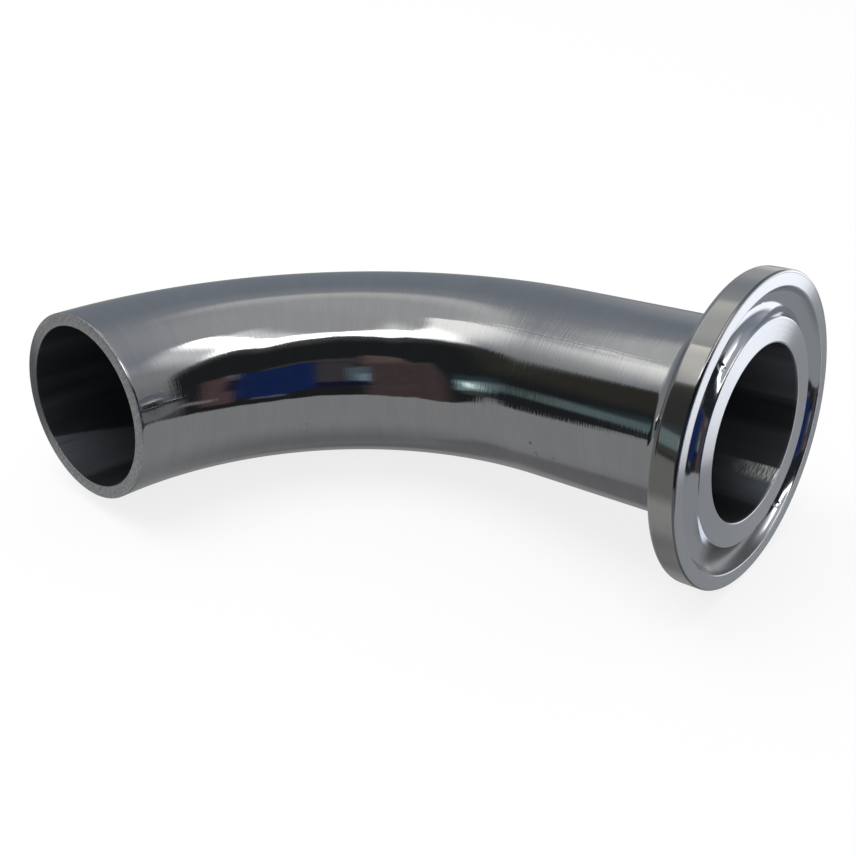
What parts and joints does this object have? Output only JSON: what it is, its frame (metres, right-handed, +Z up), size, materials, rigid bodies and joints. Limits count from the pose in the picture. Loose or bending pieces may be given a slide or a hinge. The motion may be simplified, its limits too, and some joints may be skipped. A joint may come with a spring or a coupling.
{
  "type": "sanitary clamp elbow",
  "caption": "Right-angle stainless tube elbow with a grooved sanitary clamp ferrule at one end and a plain weld end at the other.",
  "frame": {"origin": "on the surface that the elbow lies on, under the middle of its bounding box", "axes": "+Z up; +X along the clamp port as seen from above; the plain tube end points towards -Y. Both ports rise a little outwards, because the elbow rests on the back of its bend and on the flange's rim"},
  "size_m": [0.075, 0.058, 0.0339],
  "materials": {
    "polished_tube": "polished stainless steel, mirror bright with fine polishing lines round the tube; the plain end is sawn and matt",
    "turned_ferrule": "polished stainless steel; the face is turned, with fine rings round the bore"
  },
  "bodies": {
    "root": {"bent_tube": "polished_tube", "clamp_ferrule": "turned_ferrule"}
  },
  "joints": []
}
